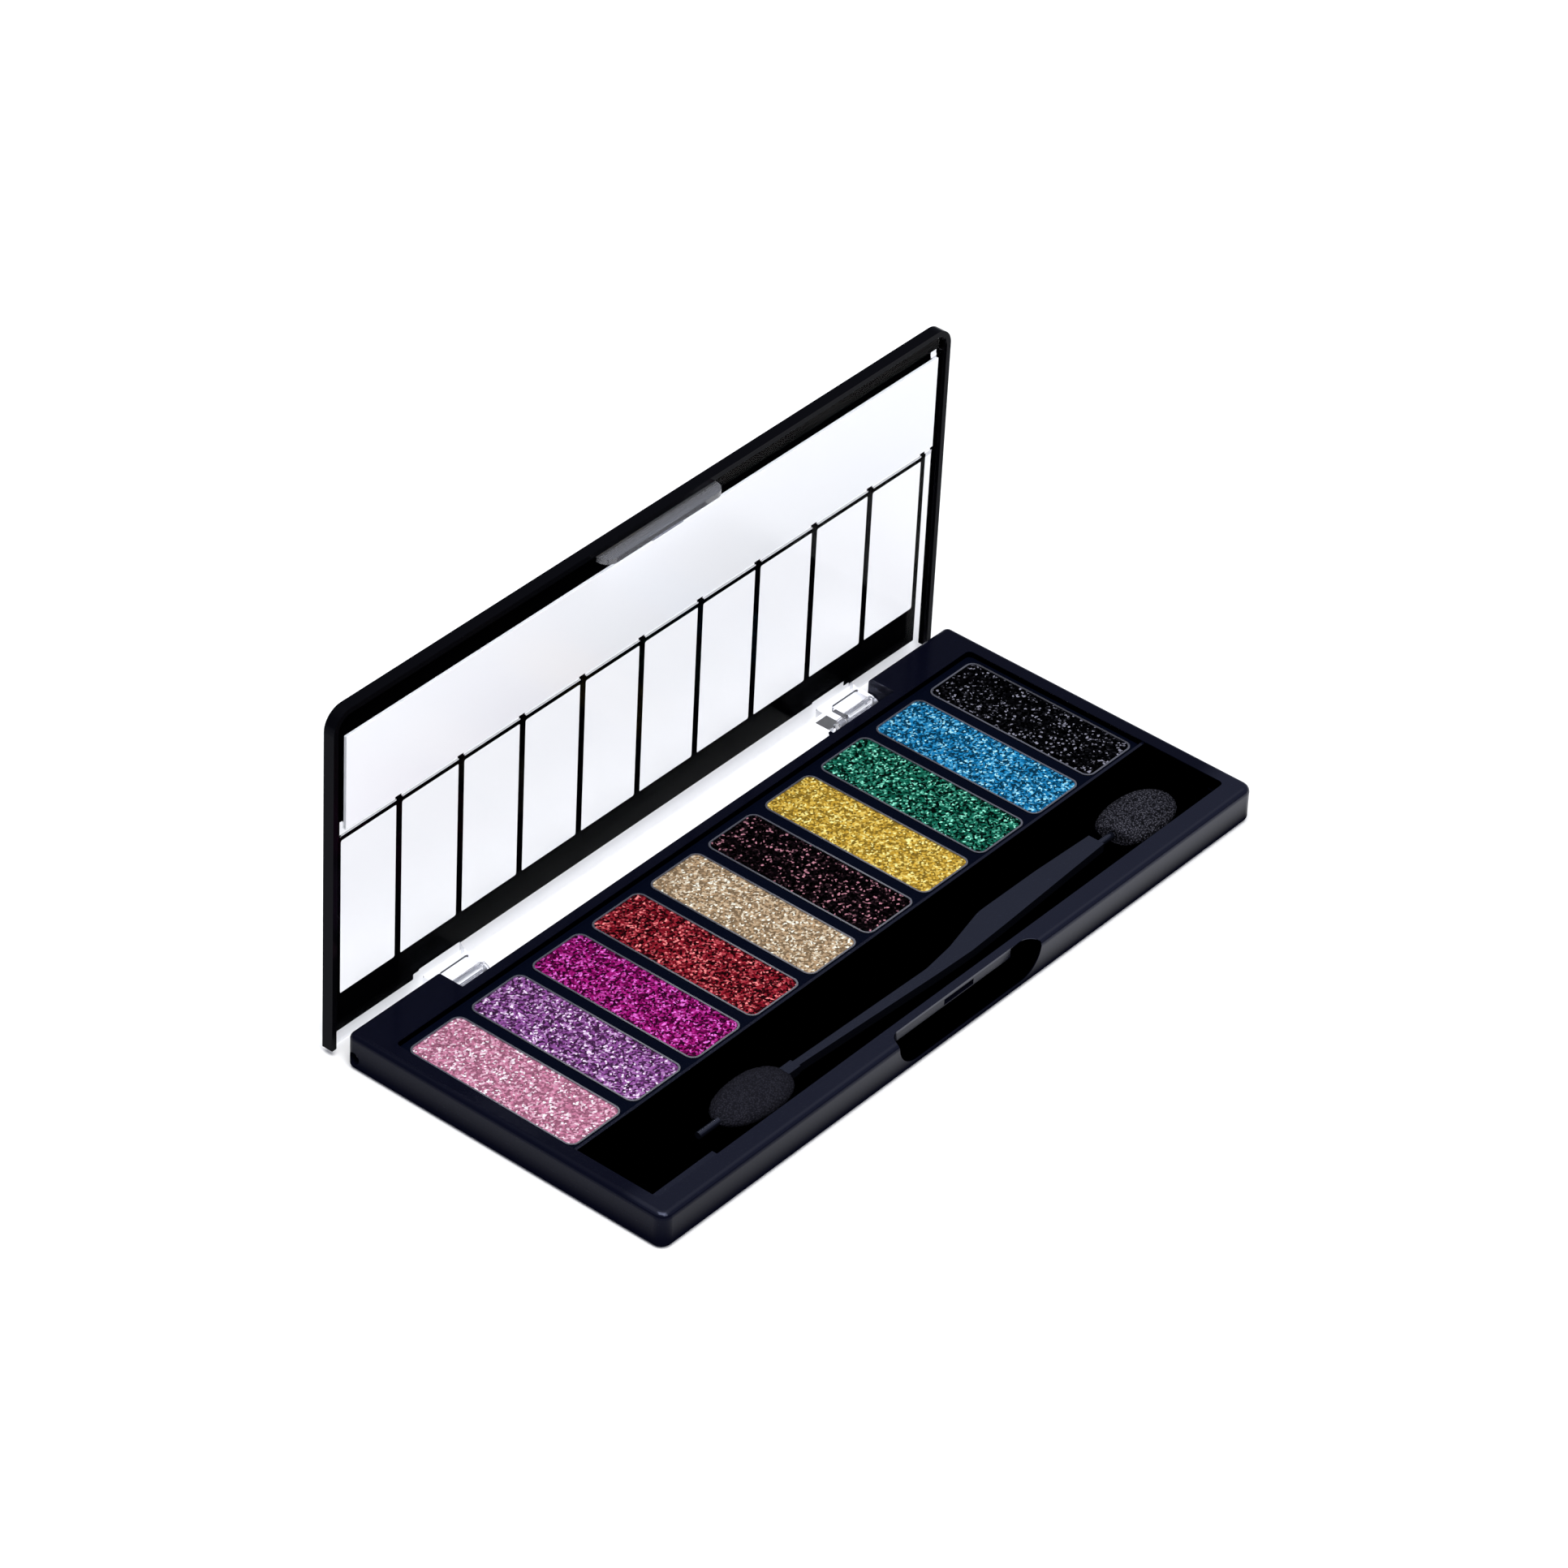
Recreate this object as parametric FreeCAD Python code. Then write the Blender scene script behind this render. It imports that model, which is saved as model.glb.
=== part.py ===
"""Ten-shade eyeshadow palette with a hinged clear lid, mirror strip and sponge applicator.

Millimetres. Origin at the centre of the base underside, +X along the palette,
+Y towards the hinge, +Z up. The lid is modelled open, square to the base.
"""
import os

import FreeCAD
import Part

# Base tray
BASE_LENGTH = 161.4
BASE_DEPTH = 70.8
BASE_HEIGHT = 7.4
BASE_CORNER_R = 2.2
BASE_REAR_CORNER_R = 1.3
BASE_TOP_EDGE_R = 1.2
BASE_BOTTOM_EDGE_R = 1.1
FLOOR = 1.5
WELL_HALF_LENGTH = 77.3
WELL_CORNER_R = 1.0
WELL_REAR_Y = 27.4
DIVIDER_REAR_Y = -12.5
DIVIDER_THICKNESS = 0.6
DIVIDER_HEIGHT = 7.0
TROUGH_FRONT_Y = -31.0
REAR_WALL_THICKNESS = 2.0
REAR_CUT_HALF_LENGTH = 58.2
REAR_LIP_HEIGHT = 0.97
TROUGH_STEP_LENGTH = 17.8
TROUGH_STEP_WIDTH = 3.2
TROUGH_STEP_HEIGHT = 4.5

# Thumb recess in the front rim
RECESS_HALF_LENGTH = 19.4
RECESS_REAR_Y = -32.6
RECESS_FLOOR = 1.6
RECESS_END_R = 2.6
RECESS_BOTTOM_R = 5.2
UNDERCUT_DEPTH = 0.6
UNDERCUT_TOP = 5.2
NUB_SLOT_LENGTH = 8.0
NUB_SLOT_BOTTOM = 5.5
NUB_SLOT_TOP = 6.7
NUB_SLOT_DEPTH = 0.6

# Pans, powder and the frame round them
PAN_COUNT = 10
PAN_PITCH = 15.5
PAN_WIDTH = 13.2
PAN_LENGTH = 37.4
PAN_REAR_Y = 25.85
PAN_CORNER_R = 1.8
PAN_WALL = 0.35
PAN_TOP = 6.3
SHADE_BELOW_RIM = 0.2
GLUE_THICKNESS = 0.1
GLUE_MARGIN = 3.0
FRAME_TOP = 6.2
FRAME_PLATE = 1.2
FRAME_SKIRT = 1.0
FRAME_GAP = 0.1
PAN_GAP = 0.1

# Hinge
HINGE_Y = 33.8
HINGE_Z = 2.6
PIN_R = 0.75
PIN_RUNNING_GAP = 0.05
PIN_RECESS = 1.2
PIN_MOUTH_R = 1.2
KNUCKLE_R = 1.4
KNUCKLE_LENGTH = 10.4
KNUCKLE_SIDE_GAP = 0.3
ARM_THICKNESS = 3.0
ARM_ROOT_R = 2.0
PAD_LENGTH = 7.4
PAD_FRONT_Y = 32.6
PAD_REAR_Y = 36.6
PAD_TOP = 5.2
PAD_CORNER_R = 0.6

# Lid
LID_LENGTH = 161.3
LID_BOTTOM = 1.2
LID_TOP = 71.8
LID_CORNER_R = 4.0
RIM_WALL = 1.1
RIM_FRONT_Y = 38.8
PANEL_FRONT_Y = 39.7
PANEL_BACK_Y = 41.0
TONGUE_HALF_LENGTH = 15.5
TONGUE_THICKNESS = 1.1
TONGUE_TIP_Y = 36.0
TONGUE_CORNER_R = 2.4
NUB_LENGTH = 8.0
NUB_HEIGHT = 0.25
NUB_DEPTH = 0.8

# Printed film on the panel's back
FILM_THICKNESS = 0.1
FILM_HALF_LENGTH = 77.8
FILM_BOTTOM = 2.7
FILM_BOTTOM_MIDDLE = 3.8
FILM_BAND_BOTTOM = 66.0
FILM_GAP = 0.1
WINDOW_PITCH = 15.57
WINDOW_WIDTH = 14.2
WINDOWS_HALF_LENGTH = 76.7
WINDOW_BOTTOM = 10.5
WINDOW_TOP = 43.2
WINDOW_CORNER_R = 0.4
CROSS_LINE = 0.9

# Mirror, its tape and the clear bezel round it
MIRROR_HALF_LENGTH = 77.4
MIRROR_BOTTOM = 47.0
MIRROR_TOP = 66.1
MIRROR_THICKNESS = 0.6
MIRROR_GAP = 0.1
TAPE_THICKNESS = 0.15
TAPE_MARGIN = 1.5
BEZEL_WIDTH = 1.4
BEZEL_CORNER_R = 0.9

# Applicator
APPLICATOR_Y = -23.0
APPLICATOR_Z = 3.8
HANDLE_THICKNESS = 1.8
HANDLE_FRONT_EDGE = [(-32.5, -1.1), (2.5, -2.8), (12.0, -3.1), (22.0, -2.7), (51.5, -1.2)]
HANDLE_REAR_EDGE = [(-32.5, 0.3), (2.5, -0.5), (10.0, 0.4), (21.0, 2.9), (37.0, 2.8), (51.5, 2.2)]
HANDLE_BEND_R = 12.0
FERRULE_LENGTH = 3.0
FERRULE_HALF_WIDTH = 1.1
FERRULE_Y = -23.3
STEM_R = 0.7
STEM_INSIDE = 8.0
STEM_TIP_X = -57.5
SPONGE_LENGTH = 18.4
SPONGE_WIDTH = 11.0
SPONGE_HEIGHT = 4.4
SPONGE_LEFT_X = -43.7
SPONGE_RIGHT_X = 62.4
SPONGE_RIGHT_CUT_X = 54.6

# How far a cutting or joining shape runs past the surface it works on
OVERRUN = 1.0
TOLERANCE = 1e-6

X_AXIS = FreeCAD.Vector(1, 0, 0)
Y_AXIS = FreeCAD.Vector(0, 1, 0)
Z_AXIS = FreeCAD.Vector(0, 0, 1)


def box(x_range, y_range, z_range):
    """A box between the two values given for each axis."""
    low = FreeCAD.Vector(x_range[0], y_range[0], z_range[0])
    return Part.makeBox(x_range[1] - x_range[0], y_range[1] - y_range[0], z_range[1] - z_range[0], low)


def edges_along(solid, axis):
    """The straight edges of a boxy solid that run along an axis."""
    return [e for e in solid.Edges if e.tangentAt(e.FirstParameter).cross(axis).Length < TOLERANCE]


def rounded_plate(x_range, y_range, z_range, radius):
    """A box with its four edges along Z rounded."""
    plate = box(x_range, y_range, z_range)
    return plate.makeFillet(radius, edges_along(plate, Z_AXIS))


def rounded_panel(x_range, y_range, z_range, radius):
    """A box with its four edges along Y rounded."""
    panel = box(x_range, y_range, z_range)
    return panel.makeFillet(radius, edges_along(panel, Y_AXIS))


def rod(radius, x_start, x_end, y, z):
    """A round bar along X."""
    return Part.makeCylinder(radius, x_end - x_start, FreeCAD.Vector(x_start, y, z), X_AXIS)


def edges_at_height(solid, z):
    """The edges that lie wholly in the level plane at z."""
    return [e for e in solid.Edges if max(abs(e.BoundBox.ZMin - z), abs(e.BoundBox.ZMax - z)) < TOLERANCE]


def pan_centres():
    """X of each pan's centre, from the left."""
    return [(i - (PAN_COUNT - 1) / 2) * PAN_PITCH for i in range(PAN_COUNT)]


def pan_block(x, inset, z_range):
    """A rounded block that fills one pan's outline less an inset all round."""
    half = PAN_WIDTH / 2 - inset
    return rounded_plate(
        (x - half, x + half),
        (PAN_REAR_Y - PAN_LENGTH + inset, PAN_REAR_Y - inset),
        z_range,
        PAN_CORNER_R - inset,
    )


def make_base_body(half_x, half_y):
    """The tray's solid outside, tighter round its rear corners."""
    body = box((-half_x, half_x), (-half_y, half_y), (0, BASE_HEIGHT))
    corners = edges_along(body, Z_AXIS)
    body = body.makeFillet(BASE_CORNER_R, [e for e in corners if e.CenterOfMass.y < 0])
    corners = [e for e in edges_along(body, Z_AXIS) if e.CenterOfMass.y > half_y - BASE_CORNER_R]
    body = body.makeFillet(BASE_REAR_CORNER_R, corners)
    body = body.makeFillet(BASE_TOP_EDGE_R, edges_at_height(body, BASE_HEIGHT))
    return body.makeFillet(BASE_BOTTOM_EDGE_R, edges_at_height(body, 0))


def make_thumb_recess(above):
    """The scoop cut from the front rim, with an undercut and a slot for the latch nub."""
    recess_x = (-RECESS_HALF_LENGTH, RECESS_HALF_LENGTH)
    in_front = -BASE_DEPTH / 2 - RECESS_END_R - OVERRUN
    recess_y = (in_front, RECESS_REAR_Y)
    scoop = rounded_plate(recess_x, recess_y, (RECESS_FLOOR, above), RECESS_END_R)
    outline = rounded_panel(recess_x, recess_y, (RECESS_FLOOR, above + RECESS_BOTTOM_R), RECESS_BOTTOM_R)
    scoop = scoop.common(outline)

    undercut_half = RECESS_HALF_LENGTH - RECESS_BOTTOM_R
    undercut_y = (RECESS_REAR_Y - OVERRUN, RECESS_REAR_Y + UNDERCUT_DEPTH)
    undercut = box((-undercut_half, undercut_half), undercut_y, (RECESS_FLOOR, UNDERCUT_TOP))
    nub_slot = box(
        (-NUB_SLOT_LENGTH / 2, NUB_SLOT_LENGTH / 2),
        (RECESS_REAR_Y - OVERRUN, RECESS_REAR_Y + NUB_SLOT_DEPTH),
        (NUB_SLOT_BOTTOM, NUB_SLOT_TOP),
    )
    return [scoop, undercut, nub_slot]


def make_base_tray():
    """The moulded tray: two wells, the cut-away hinge side and the thumb recess."""
    half_x = BASE_LENGTH / 2
    half_y = BASE_DEPTH / 2
    above = BASE_HEIGHT + OVERRUN
    well_x = (-WELL_HALF_LENGTH, WELL_HALF_LENGTH)
    pan_well = rounded_plate(well_x, (DIVIDER_REAR_Y, WELL_REAR_Y), (FLOOR, above), WELL_CORNER_R)
    trough_rear = DIVIDER_REAR_Y - DIVIDER_THICKNESS
    trough = rounded_plate(well_x, (TROUGH_FRONT_Y, trough_rear), (FLOOR, above), WELL_CORNER_R)
    over_divider = box(well_x, (trough_rear - OVERRUN, DIVIDER_REAR_Y + OVERRUN), (DIVIDER_HEIGHT, above))

    behind = (WELL_REAR_Y + REAR_WALL_THICKNESS, half_y + OVERRUN)
    cut_x = (-REAR_CUT_HALF_LENGTH, REAR_CUT_HALF_LENGTH)
    knuckle_bay = box(cut_x, behind, (REAR_LIP_HEIGHT, above))
    open_half = REAR_CUT_HALF_LENGTH - KNUCKLE_LENGTH - 2 * KNUCKLE_SIDE_GAP
    open_middle = box((-open_half, open_half), behind, (-OVERRUN, above))

    cuts = [pan_well, trough, over_divider, knuckle_bay, open_middle] + make_thumb_recess(above)
    for side in (-1, 1):
        inner = side * (REAR_CUT_HALF_LENGTH - OVERRUN)
        outer = side * (half_x + OVERRUN)
        mouth = side * (half_x - PIN_RECESS)
        cuts.append(rod(PIN_R, min(inner, outer), max(inner, outer), HINGE_Y, HINGE_Z))
        cuts.append(rod(PIN_MOUTH_R, min(mouth, outer), max(mouth, outer), HINGE_Y, HINGE_Z))
    body = make_base_body(half_x, half_y).cut(cuts)

    step_x = (-WELL_HALF_LENGTH - OVERRUN, -WELL_HALF_LENGTH + TROUGH_STEP_LENGTH)
    step_y = (TROUGH_FRONT_Y - OVERRUN, TROUGH_FRONT_Y + TROUGH_STEP_WIDTH)
    step = box(step_x, step_y, (FLOOR - OVERRUN, TROUGH_STEP_HEIGHT))
    return body.fuse(step).removeSplitter()


def make_pan_frame():
    """The plate round the pans, standing on a skirt."""
    x_range = (-WELL_HALF_LENGTH + FRAME_GAP, WELL_HALF_LENGTH - FRAME_GAP)
    y_range = (DIVIDER_REAR_Y + FRAME_GAP, WELL_REAR_Y - FRAME_GAP)
    frame = rounded_plate(x_range, y_range, (FLOOR, FRAME_TOP), WELL_CORNER_R)
    hollow = box(
        (x_range[0] + FRAME_SKIRT, x_range[1] - FRAME_SKIRT),
        (y_range[0] + FRAME_SKIRT, y_range[1] - FRAME_SKIRT),
        (FLOOR - OVERRUN, FRAME_TOP - FRAME_PLATE),
    )
    openings = [pan_block(x, -PAN_GAP, (FLOOR - OVERRUN, FRAME_TOP + OVERRUN)) for x in pan_centres()]
    return frame.cut([hollow] + openings)


def make_pan(x):
    """A drawn metal cup."""
    outer = pan_block(x, 0, (FLOOR + GLUE_THICKNESS, PAN_TOP))
    inner = pan_block(x, PAN_WALL, (FLOOR + GLUE_THICKNESS + PAN_WALL, PAN_TOP + OVERRUN))
    return outer.cut(inner)


def make_shade(x):
    """The pressed powder cake that fills a cup."""
    return pan_block(x, PAN_WALL, (FLOOR + GLUE_THICKNESS + PAN_WALL, PAN_TOP - SHADE_BELOW_RIM))


def make_pan_glue():
    """The adhesive pad under each cup."""
    z_range = (FLOOR, FLOOR + GLUE_THICKNESS)
    half = PAN_WIDTH / 2 - GLUE_MARGIN
    y_range = (PAN_REAR_Y - PAN_LENGTH + GLUE_MARGIN, PAN_REAR_Y - GLUE_MARGIN)
    return Part.makeCompound([box((x - half, x + half), y_range, z_range) for x in pan_centres()])


def knuckle_x(side):
    """The X range of one lid knuckle; side is -1 for left and 1 for right."""
    outer = REAR_CUT_HALF_LENGTH - KNUCKLE_SIDE_GAP
    return tuple(sorted((side * outer, side * (outer - KNUCKLE_LENGTH))))


def make_hinge_pin(side):
    """A plain pin pressed into the base and running in the knuckle."""
    inner = side * (REAR_CUT_HALF_LENGTH - KNUCKLE_LENGTH)
    outer = side * (BASE_LENGTH / 2 - PIN_RECESS)
    return rod(PIN_R, min(inner, outer), max(inner, outer), HINGE_Y, HINGE_Z)


def make_knuckle(side):
    """An arm from the panel to a round knuckle, its root curved up the panel and a raised pad on top."""
    x_range = knuckle_x(side)
    arm_top = LID_BOTTOM + ARM_THICKNESS
    arm = box(x_range, (HINGE_Y, PANEL_BACK_Y), (LID_BOTTOM, arm_top))
    root = box(x_range, (PANEL_FRONT_Y - ARM_ROOT_R, PANEL_BACK_Y), (arm_top, arm_top + ARM_ROOT_R))
    hollow = rod(ARM_ROOT_R, x_range[0], x_range[1], PANEL_FRONT_Y - ARM_ROOT_R, arm_top + ARM_ROOT_R)
    barrel = rod(KNUCKLE_R, x_range[0], x_range[1], HINGE_Y, HINGE_Z)
    middle = sum(x_range) / 2
    pad = rounded_plate(
        (middle - PAD_LENGTH / 2, middle + PAD_LENGTH / 2),
        (PAD_FRONT_Y, PAD_REAR_Y),
        (HINGE_Z, PAD_TOP),
        radius=PAD_CORNER_R,
    )
    return arm.fuse([root.cut(hollow), barrel, pad])


def make_bezel():
    """The clear raised border round the mirror."""
    depth = (PANEL_FRONT_Y - TAPE_THICKNESS - MIRROR_THICKNESS, PANEL_BACK_Y)
    half = MIRROR_HALF_LENGTH + BEZEL_WIDTH
    outer = rounded_panel(
        (-half, half),
        depth,
        (MIRROR_BOTTOM - BEZEL_WIDTH, MIRROR_TOP + BEZEL_WIDTH),
        BEZEL_CORNER_R,
    )
    inner_half = MIRROR_HALF_LENGTH + MIRROR_GAP
    pocket = box(
        (-inner_half, inner_half),
        (depth[0] - OVERRUN, PANEL_FRONT_Y),
        (MIRROR_BOTTOM - MIRROR_GAP, MIRROR_TOP + MIRROR_GAP),
    )
    return outer.cut(pocket)


def make_lid_panel():
    """The clear moulding: flat panel, mirror bezel, two knuckles and the latch tongue."""
    half = LID_LENGTH / 2 - RIM_WALL
    top = LID_TOP - RIM_WALL
    radius = LID_CORNER_R - RIM_WALL
    panel_y = (PANEL_FRONT_Y, PANEL_BACK_Y)
    panel = rounded_panel((-half, half), panel_y, (LID_BOTTOM, top), radius)
    square_foot = box((-half, half), panel_y, (LID_BOTTOM, LID_BOTTOM + 2 * radius))

    tongue_z = (top - TONGUE_THICKNESS, top)
    tongue_x = (-TONGUE_HALF_LENGTH, TONGUE_HALF_LENGTH)
    tongue_y = (TONGUE_TIP_Y, PANEL_FRONT_Y + TONGUE_CORNER_R)
    tongue = rounded_plate(tongue_x, tongue_y, tongue_z, TONGUE_CORNER_R)
    tongue = tongue.common(box(tongue_x, (TONGUE_TIP_Y, PANEL_BACK_Y), tongue_z))
    nub = box(
        (-NUB_LENGTH / 2, NUB_LENGTH / 2),
        (TONGUE_TIP_Y, TONGUE_TIP_Y + NUB_DEPTH),
        (tongue_z[0] - NUB_HEIGHT, top - TONGUE_THICKNESS / 2),
    )
    panel = panel.fuse([square_foot, make_bezel(), make_knuckle(-1), make_knuckle(1), tongue, nub])

    bore_r = PIN_R + PIN_RUNNING_GAP
    bores = []
    for side in (-1, 1):
        x_range = knuckle_x(side)
        bores.append(rod(bore_r, x_range[0] - OVERRUN, x_range[1] + OVERRUN, HINGE_Y, HINGE_Z))
    return panel.cut(bores).removeSplitter()


def make_lid_rim():
    """The black rim moulded round the top and both sides of the clear panel."""
    half = LID_LENGTH / 2
    below = LID_BOTTOM - 2 * LID_CORNER_R
    depth = (RIM_FRONT_Y, PANEL_BACK_Y + FILM_THICKNESS)
    through = (depth[0] - OVERRUN, depth[1] + OVERRUN)
    outer = rounded_panel((-half, half), depth, (below, LID_TOP), LID_CORNER_R)
    inner = rounded_panel(
        (-half + RIM_WALL, half - RIM_WALL),
        through,
        (below - LID_CORNER_R, LID_TOP - RIM_WALL),
        LID_CORNER_R - RIM_WALL,
    )
    foot = box((-half - OVERRUN, half + OVERRUN), through, (below - LID_CORNER_R - OVERRUN, LID_BOTTOM))
    return outer.cut([inner, foot])


def make_lid_print():
    """The black printed film: a frame, ten windows and a line under the mirror."""
    y_range = (PANEL_BACK_Y, PANEL_BACK_Y + FILM_THICKNESS)
    through = (y_range[0] - OVERRUN, y_range[1] + OVERRUN)
    rim_inside = LID_LENGTH / 2 - RIM_WALL - FILM_GAP
    top = LID_TOP - RIM_WALL - FILM_GAP
    corner = LID_CORNER_R - RIM_WALL
    band_x = (-rim_inside, rim_inside)
    below = FILM_BAND_BOTTOM - 2 * corner
    band = rounded_panel(band_x, y_range, (below, top), corner)
    band = band.cut(box(band_x, through, (below, FILM_BAND_BOTTOM)))
    film = box((-FILM_HALF_LENGTH, FILM_HALF_LENGTH), y_range, (FILM_BOTTOM, FILM_BAND_BOTTOM)).fuse(band)

    middle = REAR_CUT_HALF_LENGTH
    cuts = [box((-middle, middle), through, (FILM_BOTTOM - OVERRUN, FILM_BOTTOM_MIDDLE))]
    for x in pan_centres():
        centre = x * WINDOW_PITCH / PAN_PITCH
        low = max(centre - WINDOW_WIDTH / 2, -WINDOWS_HALF_LENGTH)
        high = min(centre + WINDOW_WIDTH / 2, WINDOWS_HALF_LENGTH)
        cuts.append(rounded_panel((low, high), through, (WINDOW_BOTTOM, WINDOW_TOP), WINDOW_CORNER_R))
        cuts.append(box((low, high), through, (WINDOW_TOP + CROSS_LINE, MIRROR_BOTTOM)))
    return film.cut(cuts).removeSplitter()


def make_mirror_tape():
    """The adhesive sheet behind the mirror."""
    half = MIRROR_HALF_LENGTH - TAPE_MARGIN
    z_range = (MIRROR_BOTTOM + TAPE_MARGIN, MIRROR_TOP - TAPE_MARGIN)
    return box((-half, half), (PANEL_FRONT_Y - TAPE_THICKNESS, PANEL_FRONT_Y), z_range)


def make_mirror():
    """The mirror strip."""
    back = PANEL_FRONT_Y - TAPE_THICKNESS
    span = (-MIRROR_HALF_LENGTH, MIRROR_HALF_LENGTH)
    return box(span, (back - MIRROR_THICKNESS, back), (MIRROR_BOTTOM, MIRROR_TOP))


def make_applicator_handle():
    """The flat handle with its ferrule and the stems inside both sponges."""
    z_low = APPLICATOR_Z - HANDLE_THICKNESS / 2
    front = [FreeCAD.Vector(x, APPLICATOR_Y + y, z_low) for x, y in HANDLE_FRONT_EDGE]
    rear = [FreeCAD.Vector(x, APPLICATOR_Y + y, z_low) for x, y in reversed(HANDLE_REAR_EDGE)]
    outline = Part.makePolygon(front + rear + front[:1])
    handle = Part.Face(outline).extrude(Z_AXIS * HANDLE_THICKNESS)
    left_end = HANDLE_FRONT_EDGE[0][0]
    right_end = HANDLE_FRONT_EDGE[-1][0]
    upright = edges_along(handle, Z_AXIS)
    bends = [e for e in upright if left_end + OVERRUN < e.CenterOfMass.x < right_end - OVERRUN]
    handle = handle.makeFillet(HANDLE_BEND_R, bends)

    ferrule = box(
        (left_end - FERRULE_LENGTH, left_end),
        (FERRULE_Y - FERRULE_HALF_WIDTH, FERRULE_Y + FERRULE_HALF_WIDTH),
        (z_low, z_low + HANDLE_THICKNESS),
    )
    left_stem = rod(STEM_R, STEM_TIP_X, left_end, APPLICATOR_Y, APPLICATOR_Z)
    stem_end = SPONGE_RIGHT_CUT_X + STEM_INSIDE
    right_stem = rod(STEM_R, right_end - OVERRUN, stem_end, APPLICATOR_Y, APPLICATOR_Z)
    return handle.fuse([ferrule, left_stem, right_stem]).removeSplitter()


def make_sponge(x):
    """One oval sponge before its end is trimmed."""
    ball = Part.makeSphere(0.5)
    ball.rotate(FreeCAD.Vector(), Y_AXIS, 90)
    stretch = FreeCAD.Matrix()
    stretch.scale(SPONGE_LENGTH, SPONGE_WIDTH, SPONGE_HEIGHT)
    oval = ball.transformGeometry(stretch)
    oval.translate(FreeCAD.Vector(x, APPLICATOR_Y, APPLICATOR_Z))
    return oval


def make_sponge_tip_left(handle):
    """The left sponge, with the stem right through it."""
    return make_sponge(SPONGE_LEFT_X).cut(handle)


def make_sponge_tip_right(handle):
    """The right sponge, cut square where it meets the handle."""
    beyond = SPONGE_RIGHT_X - SPONGE_LENGTH
    half = SPONGE_WIDTH
    end = box(
        (beyond, SPONGE_RIGHT_CUT_X),
        (APPLICATOR_Y - half, APPLICATOR_Y + half),
        (APPLICATOR_Z - half, APPLICATOR_Z + half),
    )
    return make_sponge(SPONGE_RIGHT_X).cut([end, handle])


def make_parts():
    """Every node's shape by name."""
    parts = {"base_tray": make_base_tray(), "pan_frame": make_pan_frame(), "pan_glue": make_pan_glue()}
    for number, x in enumerate(pan_centres(), start=1):
        parts[f"pan_{number:02d}"] = make_pan(x)
        parts[f"shade_{number:02d}"] = make_shade(x)
    parts["hinge_pin_left"] = make_hinge_pin(-1)
    parts["hinge_pin_right"] = make_hinge_pin(1)
    parts["lid_panel"] = make_lid_panel()
    parts["lid_rim"] = make_lid_rim()
    parts["lid_print"] = make_lid_print()
    parts["mirror_tape"] = make_mirror_tape()
    parts["mirror"] = make_mirror()
    parts["applicator_handle"] = make_applicator_handle()
    parts["sponge_tip_left"] = make_sponge_tip_left(parts["applicator_handle"])
    parts["sponge_tip_right"] = make_sponge_tip_right(parts["applicator_handle"])
    return parts


os.makedirs("parts", exist_ok=True)
for node, shape in make_parts().items():
    shape.exportStep(f"parts/{node}.step")
    print(node, len(shape.Solids), shape.isValid(), round(shape.Volume, 1))
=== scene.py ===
"""Looks for the ten-shade eyeshadow palette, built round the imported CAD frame. Metres."""

import math
import random
from types import SimpleNamespace

import bmesh
import bpy
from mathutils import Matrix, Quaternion, Vector


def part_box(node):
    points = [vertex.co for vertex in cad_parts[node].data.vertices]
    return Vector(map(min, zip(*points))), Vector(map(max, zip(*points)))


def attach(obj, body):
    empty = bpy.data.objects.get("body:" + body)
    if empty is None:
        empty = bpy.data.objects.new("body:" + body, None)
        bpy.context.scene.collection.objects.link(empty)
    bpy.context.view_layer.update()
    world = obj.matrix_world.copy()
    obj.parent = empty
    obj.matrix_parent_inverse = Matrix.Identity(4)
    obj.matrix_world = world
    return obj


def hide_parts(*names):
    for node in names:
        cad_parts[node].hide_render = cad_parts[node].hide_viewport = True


MM = 0.001

# Camera
AZIMUTH = math.radians(-51.88)
ELEVATION = math.radians(37.17)
ROLL = math.radians(3.11)
DISTANCE = 1.2058
AIM = Vector((-3.7, 5.0, 33.3)) * MM
LENS = 161.5
SENSOR = 36.0
CLIP_START = 0.01

# Linear colours
# BLACK is painted shade in the base's wells, trough and thumb recess
BLACK = (0.0, 0.0, 0.0, 1.0)
WHITE = (1.0, 1.0, 1.0, 1.0)
GLOSS_TINT = (0.62, 0.68, 1.0, 1.0)
BASE_BLACK = (0.0017, 0.002, 0.006, 1.0)
HANDLE_BLACK = (0.0035, 0.004, 0.007, 1.0)
RIM_BLACK = (0.0012, 0.0012, 0.0018, 1.0)
PRINT_BLACK = (0.0006, 0.0006, 0.001, 1.0)
FRAME_NAVY = (0.001, 0.0018, 0.006, 1.0)
TIN = (0.32, 0.32, 0.35, 1.0)
STEEL = (0.5, 0.5, 0.52, 1.0)
GLUE_CREAM = (0.6, 0.6, 0.55, 1.0)
TAPE_WHITE = (0.7, 0.7, 0.68, 1.0)
# The mirror's milky white is a painted reflection of the white studio
MIRROR_PAINTED_WHITE = (0.91, 0.92, 0.935, 1.0)
TONGUE_TINT = (0.88, 0.89, 0.95, 1.0)
PANEL_TINT = (0.75, 0.755, 0.775, 1.0)
SHADOW_TINT = (0.985, 0.988, 0.995, 1.0)
FLOOR_WHITE = (0.9, 0.9, 0.9, 1.0)
DOME_GREY = (0.3, 0.32, 0.4, 1.0)

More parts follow.
